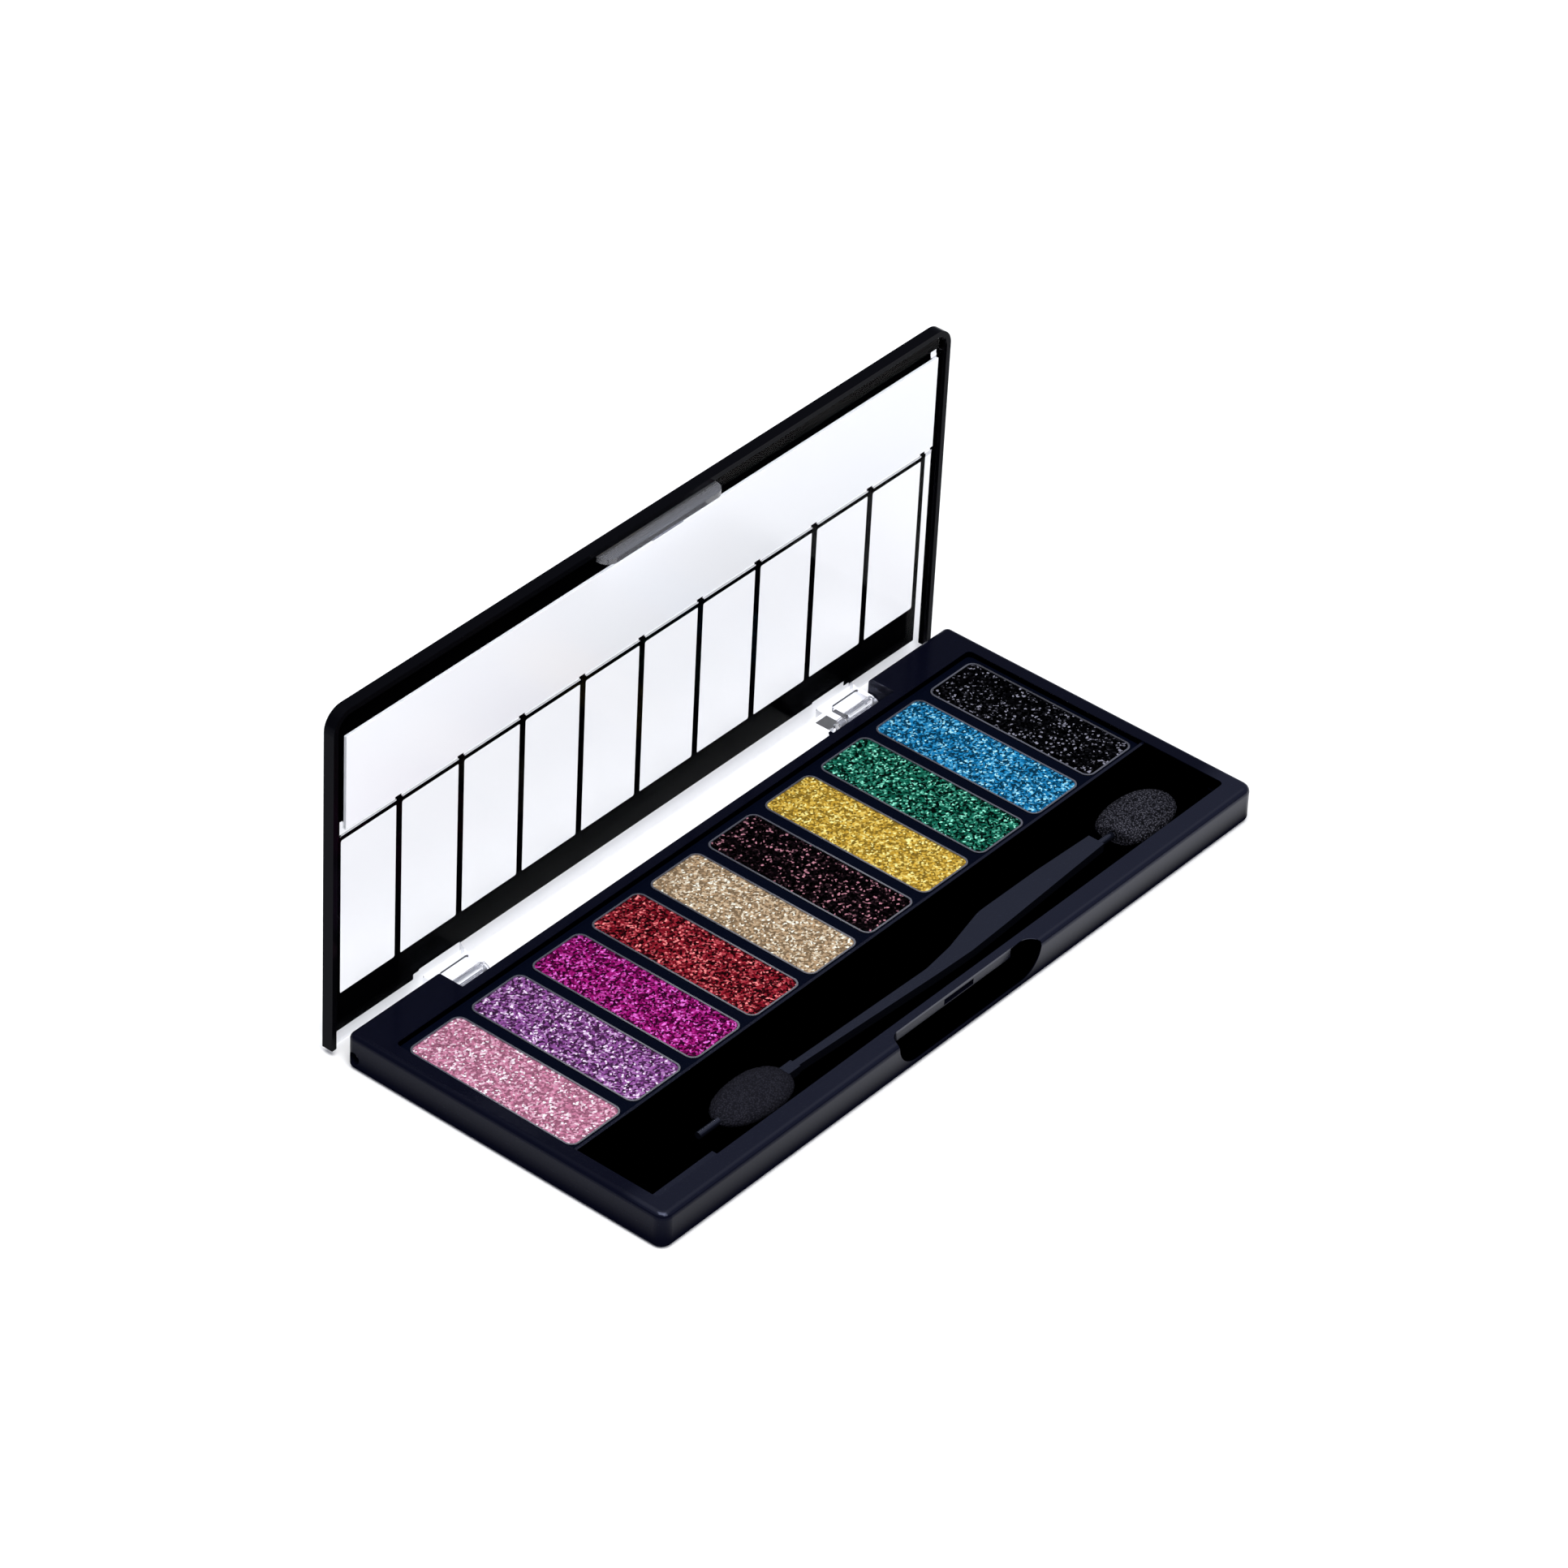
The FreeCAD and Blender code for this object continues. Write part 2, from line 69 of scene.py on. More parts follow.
# Studio: each lamp's azimuth and elevation in degrees, distance, size and power. The dome is grey
# up to the first height and white from the second, with 0 at the horizon and 1 overhead
LAMPS = {
    "lamp_over": (-60, 75, 1.6, 1.2, 24.0),
    "lamp_front": (-20, 50, 1.8, 1.0, 12.0),
}
DOME_HEIGHTS = (0.66, 0.85)
DOME_STRENGTH = 0.9
FLOOR_HALF_WIDTH = 6.0
FLOOR_DROP = 0.05 * MM
FLOOR_ROUGHNESS = 0.9

# Places inside the base that no box of the frame gives, most of them a little past the real face:
# from its left, front and bottom faces
STEP_RIGHT = 21.3 * MM
STEP_REAR = 7.7 * MM
STEP_TOP = 4.5 * MM
TROUGH_FRONT = 4.3 * MM
RECESS_REAR = 3.6 * MM
# Top of the painted shade in the thumb recess, from the bottom face
RECESS_SHADE_TOP = 5.3 * MM
# From its middle, to the ends of the thumb recess and of the flat of its floor
RECESS_HALF_LENGTH = 19.5 * MM
RECESS_FLAT_HALF_LENGTH = 14.2 * MM
# Forward from the pan frame, and down from the base's top
DIVIDER_FRONT = 0.65 * MM
DIVIDER_REAR = 0.05 * MM
DIVIDER_DROP = 0.4 * MM
# The boxes of painted shade stop this far inside the base's outer faces and this far short of the
# tops of the step and the divider, and they reach this far past the pan frame
FACE_MARGIN = 0.15 * MM
# Points no further than this below the base's top are on its top face
TOP_FACE_MARGIN = 0.02 * MM

# Base: roughness, least roughness where shade is painted, and specular level of its full gloss
BASE_ROUGHNESS = 0.16
DARK_ROUGHNESS = 0.7
BASE_LEVEL = 0.5
# Its gloss, dimmed as painted shade: up the walls, darker towards the bottom; along the walls and
# the rim, from the left end to a share of the way from the middle to the right end; and across the
# rim, backwards from the trough's front
WALL_FADE_HEIGHTS = (1.0 * MM, 6.5 * MM)
WALL_GLOSS_UP = (0.0, 0.5)
WALL_GLOSS_ALONG = (0.3, 1.0)
RIM_GLOSS_ALONG = (0.7, 1.05)
FULL_GLOSS_FROM = 0.5
RIM_GLOSS_ACROSS = (1.0, 0.12)
RIM_FADE_WIDTH = 7 * MM
# Least gloss on the divider's top, a painted highlight along it
DIVIDER_GLOSS = 0.8

# Black mouldings: roughness and specular level, and the shares of the roughness it varies between
HANDLE_ROUGHNESS = 0.14
HANDLE_LEVEL = 0.65
RIM_ROUGHNESS = 0.14
RIM_LEVEL = 0.03
GLOSS_SPREAD = (0.7, 1.4)
GLOSS_CLOUD = 9 * MM
GLOSS_RIPPLE = 1.4 * MM
GLOSS_RIPPLE_DEPTH = 0.002 * MM

# Pan frame, print and mirror
FRAME_LEVEL = 0.01
FRAME_ROUGHNESS = (0.3, 0.5)
FRAME_CLOUD = 6 * MM
FRAME_GRAIN = 0.25 * MM
FRAME_GRAIN_DEPTH = 0.003 * MM
PRINT_LEVEL = 0.03
PRINT_ROUGHNESS = (0.25, 0.45)
PRINT_MOTTLE = 0.5 * MM
PRINT_GRAIN = 0.3 * MM
PRINT_GRAIN_DEPTH = 0.002 * MM
MIRROR_LEVEL = 0.4
MIRROR_ROUGHNESS = (0.12, 0.2)
MIRROR_CLOUD = 30 * MM

# Metals
TIN_ROUGHNESS = 0.28
STEEL_ROUGHNESS = 0.3
METAL_SPREAD = (0.7, 1.3)
METAL_GRAIN = 0.15 * MM
METAL_GRAIN_DEPTH = 0.002 * MM

# Glue and tape: roughness and mottle, and how far tone and roughness vary
GLUE_ROUGHNESS = 0.6
GLUE_MOTTLE = 1.5 * MM
TAPE_ROUGHNESS = 0.8
TAPE_MOTTLE = 0.8 * MM
PLAIN_DARK_SHARE = 0.85
PLAIN_STOPS = (0.35, 0.65)
PLAIN_SPREAD = (0.9, 1.1)

# Clear lid: refractive index of the tongue and knuckles, of the bezel and of the panel. The last
# two are lower than in real plastic, which would put white reflections over the print and bend
# the printed line behind the bezel
TONGUE_IOR = 1.47
BEZEL_IOR = 1.01
PANEL_IOR = 1.08
TONGUE_TRANSMISSION = 0.955
CLEAR_ROUGHNESS = 0.02
# The bezel starts this far in front of the lid's rim, and the panel this far behind the mirror
BEZEL_MARGIN = 0.05 * MM
PANEL_MARGIN = 0.1 * MM

# Powder shades: slot word, body colour, colour of the brightest flakes, a painted glint over the
# flakes' own colour (both as display colours, 0 to 255), how light the gaps are against the body, as
# painted shade between the flakes, and how rare the bright flakes are
SHADES = {
    "shade_01": ("rose", (205, 128, 160), (255, 250, 255), 0.7, 1.0),
    "shade_02": ("violet", (140, 75, 150), (250, 230, 255), 0.4, 1.2),
    "shade_03": ("magenta", (150, 15, 105), (240, 120, 225), 0.3, 1.0),
    "shade_04": ("red", (130, 20, 35), (255, 145, 145), 0.2, 1.2),
    "shade_05": ("champagne", (185, 155, 120), (255, 255, 240), 0.65, 1.0),
    "shade_06": ("black_rose", (10, 5, 8), (190, 130, 145), 0.0, 2.8),
    "shade_07": ("gold", (210, 168, 60), (255, 245, 160), 0.6, 1.0),
    "shade_08": ("emerald", (15, 95, 75), (150, 245, 215), 0.1, 1.3),
    "shade_09": ("blue", (20, 122, 180), (175, 238, 255), 0.4, 1.2),
    "shade_10": ("black_silver", (4, 4, 6), (140, 140, 155), 0.0, 3.2),
}
# Places on the ramp, with the share of the way from the gaps' painted shade to the body and from the
# body to the bright flakes' painted glint
GAP_SHADE_STOPS = ((0.22, 0.0), (0.41, 0.5), (0.6, 1.0))
SPARKLE_STOPS = ((0.77, 0.25), (0.9, 0.6), (0.97, 1.0))
# How much brighter than its own colour an upward face shows in this studio
LIGHT_ON_TOPS = 1.36

# Cakes: the mesh's flakes, whose points wander by a share of their size
CAKE_CORNER_R = 1.45 * MM
FLAKE_SIZE = 0.39 * MM
FLAKE_LIFT = 0.05 * MM
FLAKE_WANDER = 0.33
SAME_POINT = FLAKE_SIZE * 0.05
SLIVER = FLAKE_SIZE * 0.02
FIRST_CAKE_SEED = 100
# The material's flakes: the patches they gather in, and the share of them that is not metallic
PATCH_SIZE = 1.6 * MM
PATCH_STRENGTH = 0.4
DULL_SHARE = 0.6
FLAKE_METALLIC = 0.3
FLAKE_ROUGHNESS = (0.25, 0.6)
FLAKE_BUMP = 0.03 * MM

# Sponges: pore, skin and highlight tones, with painted shade in the pores and a painted highlight on
# the raised cell walls, and the outline's fullness
SPONGE_LEFT_TONES = ((22, 22, 28), (32, 32, 40), (48, 48, 56))
SPONGE_RIGHT_TONES = ((12, 12, 16), (44, 44, 52), (96, 96, 106))
SPONGE_LEFT_TAPER = 0.06
SPONGE_RIGHT_CUT = 1.4 * MM
OVAL_DIVISIONS = 6
OVAL_BLUNTNESS = 2.4
OVAL_GIRTH_LIMIT = 1.4
# Radius at the deepest pit, as a share of the skin's
DEEPEST_PIT = 0.965
# Least width taken for the oval's ends, so that nothing is divided by zero
POLE_WIDTH = 0.001
# The foam's texture
FOAM_CELL = 0.34 * MM
FOAM_CELL_SHARE = 0.7
FOAM_GRAIN = 0.25 * MM
FOAM_GRAIN_SHARE = 0.5
FOAM_STOPS = (0.3, 0.52, 0.75)
FOAM_BUMP = 0.1 * MM
FOAM_ROUGHNESS = 0.95
FOAM_LEVEL = 0.03

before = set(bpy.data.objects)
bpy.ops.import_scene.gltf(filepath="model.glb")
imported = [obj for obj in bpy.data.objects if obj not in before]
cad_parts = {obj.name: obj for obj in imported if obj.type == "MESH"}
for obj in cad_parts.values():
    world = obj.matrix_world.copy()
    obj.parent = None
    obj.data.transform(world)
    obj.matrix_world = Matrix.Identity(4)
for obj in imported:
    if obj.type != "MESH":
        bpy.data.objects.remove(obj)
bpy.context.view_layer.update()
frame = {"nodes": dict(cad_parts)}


def linear(rgb, light=1.0):
    """The linear colour that shows as a display colour, 0 to 255, under light of the given strength."""
    channels = (value / 255 for value in rgb)
    straight = (
        shown / 12.92 if shown <= 0.04045 else ((shown + 0.055) / 1.055) ** 2.4
        for shown in channels
    )
    return tuple(value / light for value in straight) + (1.0,)


def direction(azimuth, elevation):
    """The unit vector towards an azimuth, 0 in front of the palette, and an elevation."""
    return Vector((
        math.sin(azimuth) * math.cos(elevation),
        -math.cos(azimuth) * math.cos(elevation),
        math.sin(elevation),
    ))


# ---------------------------------------------------------------- materials
class Nodes:
    """A new material and short ways to add nodes to it."""

    def __init__(self, name, **sockets):
        self.material = bpy.data.materials.new(name)
        self.material.use_nodes = True
        self.tree = self.material.node_tree
        self.shader = self.tree.nodes["Principled BSDF"]
        for socket, value in sockets.items():
            self.shader.inputs[socket.replace("_", " ")].default_value = value

    def add(self, kind, inputs=None, **settings):
        """A node with its settings and its inputs: a plain value, or another node's output."""
        node = self.tree.nodes.new(kind)
        for key, value in settings.items():
            setattr(node, key, value)
        for key, value in (inputs or {}).items():
            if isinstance(value, bpy.types.NodeSocket):
                self.tree.links.new(value, node.inputs[key])
            else:
                node.inputs[key].default_value = value
        return node

    def math(self, operation, a, b):
        """The result of a Math node."""
        return self.add("ShaderNodeMath", {0: a, 1: b}, operation=operation).outputs[0]

    def times(self, first, *others):
        """The product of outputs and numbers."""
        for other in others:
            first = self.math("MULTIPLY", first, other)
        return first

    def most(self, first, *others):
        """The largest of outputs and numbers."""
        for other in others:
            first = self.math("MAXIMUM", first, other)
        return first

    def feed(self, socket, value):
        """Link a node's output to the shader."""
        self.tree.links.new(value, self.shader.inputs[socket])

    def fed(self, socket):
        """The output that is linked to the shader's socket."""
        return self.shader.inputs[socket].links[0].from_socket

    def place(self):
        """Points on the piece, in metres, where they are with the palette at rest."""
        return self.add("ShaderNodeTexCoord").outputs["Object"]

    def place_xyz(self):
        """A node whose outputs are the X, Y and Z of a point on the piece."""
        return self.add("ShaderNodeSeparateXYZ", {0: self.place()})

    def noise(self, size, detail=2.0, rough=0.5):
        """Noise, 0 to 1, with features of about size metres."""
        inputs = {"Vector": self.place(), "Scale": 1 / size, "Detail": detail, "Roughness": rough}
        return self.add("ShaderNodeTexNoise", inputs).outputs["Fac"]

    def cells(self, size):
        """Irregular cells of about size metres, each with its own colour."""
        inputs = {"Vector": self.place(), "Scale": 1 / size}
        return self.add("ShaderNodeTexVoronoi", inputs, feature="F1")

    def ramp(self, factor, stops):
        """A colour ramp through (position, colour) stops."""
        node = self.add("ShaderNodeValToRGB", {"Fac": factor})
        elements = node.color_ramp.elements
        while len(elements) < len(stops):
            elements.new(0.5)
        for element, (position, colour) in zip(elements, stops):
            element.position = position
            element.color = colour
        return node.outputs["Color"]

    def spread(self, factor, low, high):
        """factor, 0 to 1, spread from low to high."""
        inputs = {"Value": factor, "To Min": low, "To Max": high}
        return self.add("ShaderNodeMapRange", inputs).outputs["Result"]

    def slope(self, value, start_end, low_high):
        """A value carried smoothly from one range to another."""
        inputs = {
            "Value": value,
            "From Min": start_end[0],
            "From Max": start_end[1],
            "To Min": low_high[0],
            "To Max": low_high[1],
        }
        node = self.add("ShaderNodeMapRange", inputs, interpolation_type="SMOOTHSTEP")
        return node.outputs["Result"]

    def bump(self, height, depth):
        """A bump of depth metres fed to the shader's normal."""
        node = self.add("ShaderNodeBump", {"Height": height, "Distance": depth, "Strength": 1.0})
        self.feed("Normal", node.outputs["Normal"])


def gloss_black(name, base, roughness, level=BASE_LEVEL):
    """Moulded black plastic: a cool gloss with a faint cloudiness and ripple."""
    nodes = Nodes(name, Base_Color=base, Specular_IOR_Level=level, Specular_Tint=GLOSS_TINT)
    cloud = nodes.noise(GLOSS_CLOUD, detail=3.0)
    nodes.feed("Roughness", nodes.spread(cloud, *(roughness * share for share in GLOSS_SPREAD)))
    nodes.bump(nodes.noise(GLOSS_RIPPLE), GLOSS_RIPPLE_DEPTH)
    return nodes


def inside(nodes, low, high):
    """1 inside the box between two corners and 0 outside it."""
    xyz = nodes.place_xyz()
    spans = []
    for axis in range(3):
        above = nodes.math("GREATER_THAN", xyz.outputs[axis], low[axis])
        below = nodes.math("LESS_THAN", xyz.outputs[axis], high[axis])
        spans.append(nodes.times(above, below))
    return nodes.times(*spans)


def base_places():
    """The base's corners, and the planes that bound its wells, step, divider and thumb recess."""
    low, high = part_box("base_tray")
    frame_low, frame_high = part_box("pan_frame")
    return SimpleNamespace(
        low=low,
        high=high,
        left=frame_low.x - FACE_MARGIN,
        right=frame_high.x + FACE_MARGIN,
        bottom=low.z + FACE_MARGIN,
        top=high.z - FACE_MARGIN,
        well_rear=frame_high.y + FACE_MARGIN,
        divider_front=frame_low.y - DIVIDER_FRONT,
        divider_rear=frame_low.y - DIVIDER_REAR,
        divider_top=high.z - DIVIDER_DROP,
        trough_front=low.y + TROUGH_FRONT,
        step_right=low.x + STEP_RIGHT,
        step_rear=low.y + STEP_REAR,
        under_step_top=low.z + STEP_TOP - FACE_MARGIN,
        over_step_top=low.z + STEP_TOP + FACE_MARGIN,
        recess_front=low.y + FACE_MARGIN,
        recess_rear=low.y + RECESS_REAR,
        recess_shade_top=low.z + RECESS_SHADE_TOP,
    )


def painted_shade_boxes(at):
    """Low and high corners of the boxes in the base painted black, matte and without gloss, as painted
    shade.
    """
    pan_well = ((at.left, at.divider_rear, at.bottom), (at.right, at.well_rear, at.top))
    trough = ((at.left, at.trough_front, at.bottom), (at.right, at.divider_front, at.under_step_top))
    behind_step = ((at.left, at.step_rear, at.under_step_top), (at.right, at.divider_front, at.top))
    over_step = ((at.left, at.trough_front, at.over_step_top), (at.right, at.step_rear, at.top))
    divider = (
        (at.left, at.divider_front, at.bottom),
        (at.right, at.divider_rear, at.divider_top - FACE_MARGIN),
    )
    recess = (
        (-RECESS_HALF_LENGTH, at.recess_front, at.bottom),
        (RECESS_HALF_LENGTH, at.recess_rear, at.recess_shade_top),
    )
    recess_right_end = (
        (RECESS_FLAT_HALF_LENGTH, at.recess_front, at.bottom),
        (RECESS_HALF_LENGTH, at.recess_rear, at.top),
    )
    return pan_well, trough, behind_step, over_step, divider, recess, recess_right_end


def painted_shade_on_gloss(nodes, at):
    """How much of the base's gloss shows: painted shade dims it down the walls, to the left and to the
    rear, and a painted highlight keeps most or all of it on the divider's top and the step.
    """
    xyz = nodes.place_xyz()
    along = (at.low.x, at.high.x * FULL_GLOSS_FROM)
    wall_heights = [at.low.z + height for height in WALL_FADE_HEIGHTS]
    wall_along = nodes.slope(xyz.outputs["X"], along, WALL_GLOSS_ALONG)
    wall = nodes.times(nodes.slope(xyz.outputs["Z"], wall_heights, WALL_GLOSS_UP), wall_along)

    rim_along = nodes.slope(xyz.outputs["X"], along, RIM_GLOSS_ALONG)
    rim = nodes.math("GREATER_THAN", xyz.outputs["Z"], at.divider_top - FACE_MARGIN / 2)
    rim_depth = (at.trough_front, at.trough_front + RIM_FADE_WIDTH)
    rim_across = nodes.slope(xyz.outputs["Y"], rim_depth, RIM_GLOSS_ACROSS)
    gloss = nodes.most(wall, nodes.times(rim, nodes.times(rim_across, rim_along)))

    top_face = nodes.math("GREATER_THAN", xyz.outputs["Z"], at.high.z - TOP_FACE_MARGIN)
    top_face_limit = nodes.most(rim_across, nodes.math("SUBTRACT", 1.0, top_face))
    gloss = nodes.math("MINIMUM", gloss, top_face_limit)

    divider = inside(
        nodes,
        (at.left, at.divider_front, at.divider_top - FACE_MARGIN),
        (at.right, at.divider_rear, at.high.z),
    )
    step = inside(
        nodes,
        (at.left, at.trough_front, at.under_step_top),
        (at.step_right, at.step_rear, at.over_step_top),
    )
    return nodes.most(gloss, nodes.most(nodes.times(divider, DIVIDER_GLOSS), step))


def base_material():
    """Black gloss with painted shade: the gloss dims down the walls, and the wells, the trough and the
    thumb recess are painted black without gloss.
    """
    nodes = gloss_black("base_gloss_black", BASE_BLACK, BASE_ROUGHNESS)
    at = base_places()
    # Painted shade: the wells, the trough and the thumb recess are painted black, matte and without
    # gloss
    dark = nodes.most(*(inside(nodes, low, high) for low, high in painted_shade_boxes(at)))
    lit = nodes.math("SUBTRACT", 1.0, dark)
    nodes.feed("Roughness", nodes.most(nodes.fed("Roughness"), nodes.times(dark, DARK_ROUGHNESS)))
    nodes.feed("Base Color", nodes.ramp(lit, [(0.0, BLACK), (1.0, BASE_BLACK)]))
    # Painted shade and painted highlights on the gloss, set by place on the base
    nodes.feed("Specular IOR Level", nodes.times(painted_shade_on_gloss(nodes, at), lit, BASE_LEVEL))
    return nodes.material


def frame_material():
    """Satin navy-black plate round the pans."""
    nodes = Nodes("pan_frame_satin", Base_Color=FRAME_NAVY, Specular_IOR_Level=FRAME_LEVEL)
    nodes.feed("Roughness", nodes.spread(nodes.noise(FRAME_CLOUD), *FRAME_ROUGHNESS))
    nodes.bump(nodes.noise(FRAME_GRAIN), FRAME_GRAIN_DEPTH)
    return nodes.material


def metal_material(name, base, roughness):
    """Drawn or turned metal with a fine grain."""
    nodes = Nodes(name, Base_Color=base, Metallic=1.0)
    grain = nodes.noise(METAL_GRAIN, detail=4.0)
    nodes.feed("Roughness", nodes.spread(grain, *(roughness * share for share in METAL_SPREAD)))
    nodes.bump(grain, METAL_GRAIN_DEPTH)
    return nodes.material


def clear_material():
    """Clear moulding that lets lamps through; the tongue and knuckles are a little milky."""
    nodes = Nodes("lid_clear_plastic", Roughness=CLEAR_ROUGHNESS)
    depth = nodes.place_xyz().outputs["Y"]
    plate = nodes.math("GREATER_THAN", depth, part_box("lid_rim")[0].y - BEZEL_MARGIN)
    panel = nodes.math("GREATER_THAN", depth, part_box("mirror")[1].y + PANEL_MARGIN)
    panel_rise = nodes.spread(panel, TONGUE_IOR, TONGUE_IOR + PANEL_IOR - BEZEL_IOR)
    nodes.feed("IOR", nodes.math("SUBTRACT", panel_rise, nodes.times(plate, TONGUE_IOR - BEZEL_IOR)))
    nodes.feed("Transmission Weight", nodes.spread(plate, TONGUE_TRANSMISSION, 1.0))
    nodes.feed("Base Color", nodes.ramp(plate, [(0.0, TONGUE_TINT), (1.0, PANEL_TINT)]))
    clear = nodes.add("ShaderNodeBsdfTransparent", {"Color": SHADOW_TINT})
    shadow = nodes.add("ShaderNodeLightPath").outputs["Is Shadow Ray"]
    mix = nodes.add("ShaderNodeMixShader", {0: shadow, 1: nodes.shader.outputs[0], 2: clear.outputs[0]})
    nodes.tree.links.new(mix.outputs[0], nodes.tree.nodes["Material Output"].inputs["Surface"])
    return nodes.material


def print_material():
    """Black screen-printed film, very slightly mottled."""
    nodes = Nodes("lid_print_black", Base_Color=PRINT_BLACK, Specular_IOR_Level=PRINT_LEVEL)
    nodes.feed("Roughness", nodes.spread(nodes.noise(PRINT_MOTTLE), *PRINT_ROUGHNESS))
    nodes.bump(nodes.noise(PRINT_GRAIN), PRINT_GRAIN_DEPTH)
    return nodes.material


def mirror_material():
    """Mirror painted a milky white: a painted reflection of the white studio in place of the mirror's
    own reflection.
    """
    nodes = Nodes("mirror_painted_reflection", Base_Color=MIRROR_PAINTED_WHITE, Specular_IOR_Level=MIRROR_LEVEL)
    nodes.feed("Roughness", nodes.spread(nodes.noise(MIRROR_CLOUD), *MIRROR_ROUGHNESS))
    return nodes.material


def blend(start, end, share):
    """The display colour a share of the way from start to end."""
    return tuple(a + (b - a) * share for a, b in zip(start, end))


def flake_stops(body, sparkle, gap_shade, rarity):
    """Colour stops from the painted shade of the gaps between flakes, through the body colour, to the
    painted glints of the brightest flakes.
    """
    dark = blend((0, 0, 0), body, gap_shade)
    stops = [(place, blend(dark, body, share)) for place, share in GAP_SHADE_STOPS]
    stops += [(place, blend(body, sparkle, share ** rarity)) for place, share in SPARKLE_STOPS]
    return [(place, linear(colour, LIGHT_ON_TOPS)) for place, colour in stops]


def glitter_material(name, stops):
    """Pressed glitter: every flake has its own tone and shine, and some are metallic; the tones also
    carry painted shade in the gaps and painted glints on the brightest flakes.
    """
    nodes = Nodes(f"{name}_glitter", Specular_IOR_Level=0.0)
    flake = nodes.add("ShaderNodeSeparateColor", {0: nodes.cells(FLAKE_SIZE).outputs["Color"]})
    patch = nodes.math("SUBTRACT", nodes.noise(PATCH_SIZE), 0.5)
    tone = nodes.math("ADD", flake.outputs[0], nodes.times(patch, PATCH_STRENGTH))
    # Painted shade between the flakes and painted glints on the brightest, over the flakes' own tones
    nodes.feed("Base Color", nodes.ramp(tone, stops))
    metallic = nodes.math("GREATER_THAN", flake.outputs[1], DULL_SHARE)
    nodes.feed("Metallic", nodes.times(metallic, FLAKE_METALLIC))
    nodes.feed("Roughness", nodes.spread(flake.outputs[2], *FLAKE_ROUGHNESS))
    nodes.bump(tone, FLAKE_BUMP)
    return nodes.material


def sponge_material(name, tones):
    """Charcoal foam: a painted highlight on the paler, raised cell walls and painted shade in the dark
    pores.
    """
    nodes = Nodes(name, Specular_IOR_Level=FOAM_LEVEL, Roughness=FOAM_ROUGHNESS)
    cells = nodes.times(nodes.cells(FOAM_CELL).outputs["Distance"], FOAM_CELL_SHARE)
    grain = nodes.times(nodes.noise(FOAM_GRAIN, detail=4.0, rough=0.7), FOAM_GRAIN_SHARE)
    depth = nodes.math("ADD", cells, grain)
    pale_first = [linear(tone, LIGHT_ON_TOPS) for tone in reversed(tones)]
    # Painted highlight on the raised cell walls, painted shade in the pores
    nodes.feed("Base Color", nodes.ramp(depth, list(zip(FOAM_STOPS, pale_first))))
    nodes.bump(nodes.math("SUBTRACT", 1.0, depth), FOAM_BUMP)
    return nodes.material


def plain_material(name, base, roughness, mottle):
    """A dull material with a fine mottle."""
    nodes = Nodes(name)
    tone = nodes.noise(mottle)
    dark = tuple(value * PLAIN_DARK_SHARE for value in base[:3]) + (1.0,)
    nodes.feed("Base Color", nodes.ramp(tone, list(zip(PLAIN_STOPS, (dark, base)))))
    nodes.feed("Roughness", nodes.spread(tone, *(roughness * share for share in PLAIN_SPREAD)))
    return nodes.material


def paint(obj, material):
    """Give a piece one material in every slot."""
    if not obj.data.materials:
        obj.data.materials.append(material)
    for index in range(len(obj.data.materials)):
        obj.data.materials[index] = material


# ---------------------------------------------------------------- pieces
def mesh_piece(name, mesh, node, material, body):
    """bmesh to an object that rides on body in place of a CAD node."""
    data = bpy.data.meshes.new(name)
    mesh.to_mesh(data)
    mesh.free()
    obj = bpy.data.objects.new(name, data)
    bpy.context.scene.collection.objects.link(obj)
    paint(obj, material)
    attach(obj, body)
    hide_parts(node)
    return obj


def into_corner(x, y, low, high, radius):
    """A point of the box low-high moved onto the round of its nearest corner if it lies beyond it."""
    centre_x = min(max(x, low.x + radius), high.x - radius)
    centre_y = min(max(y, low.y + radius), high.y - radius)
    away = math.hypot(x - centre_x, y - centre_y)
    if away <= radius or x == centre_x or y == centre_y:
        return x, y
    return centre_x + (x - centre_x) * radius / away, centre_y + (y - centre_y) * radius / away


def flake_points(mesh, rng, low, high):
    """Rows of points over the top of the box low-high, unevenly spaced and lifted inside its edge."""
    columns = round((high.x - low.x) / FLAKE_SIZE)
    rows = round((high.y - low.y) / FLAKE_SIZE)
    points = []
    for j in range(rows + 1):
        row = []
        for i in range(columns + 1):
            edge = i in (0, columns) or j in (0, rows)
            wander = 0 if edge else FLAKE_WANDER
            x = low.x + (high.x - low.x) * (i + rng.uniform(-wander, wander)) / columns
            y = low.y + (high.y - low.y) * (j + rng.uniform(-wander, wander)) / rows
            x, y = into_corner(x, y, low, high, CAKE_CORNER_R)
            z = high.z + (0 if edge else rng.uniform(-FLAKE_LIFT, FLAKE_LIFT))
            row.append(mesh.verts.new((x, y, z)))
        points.append(row)
    return points


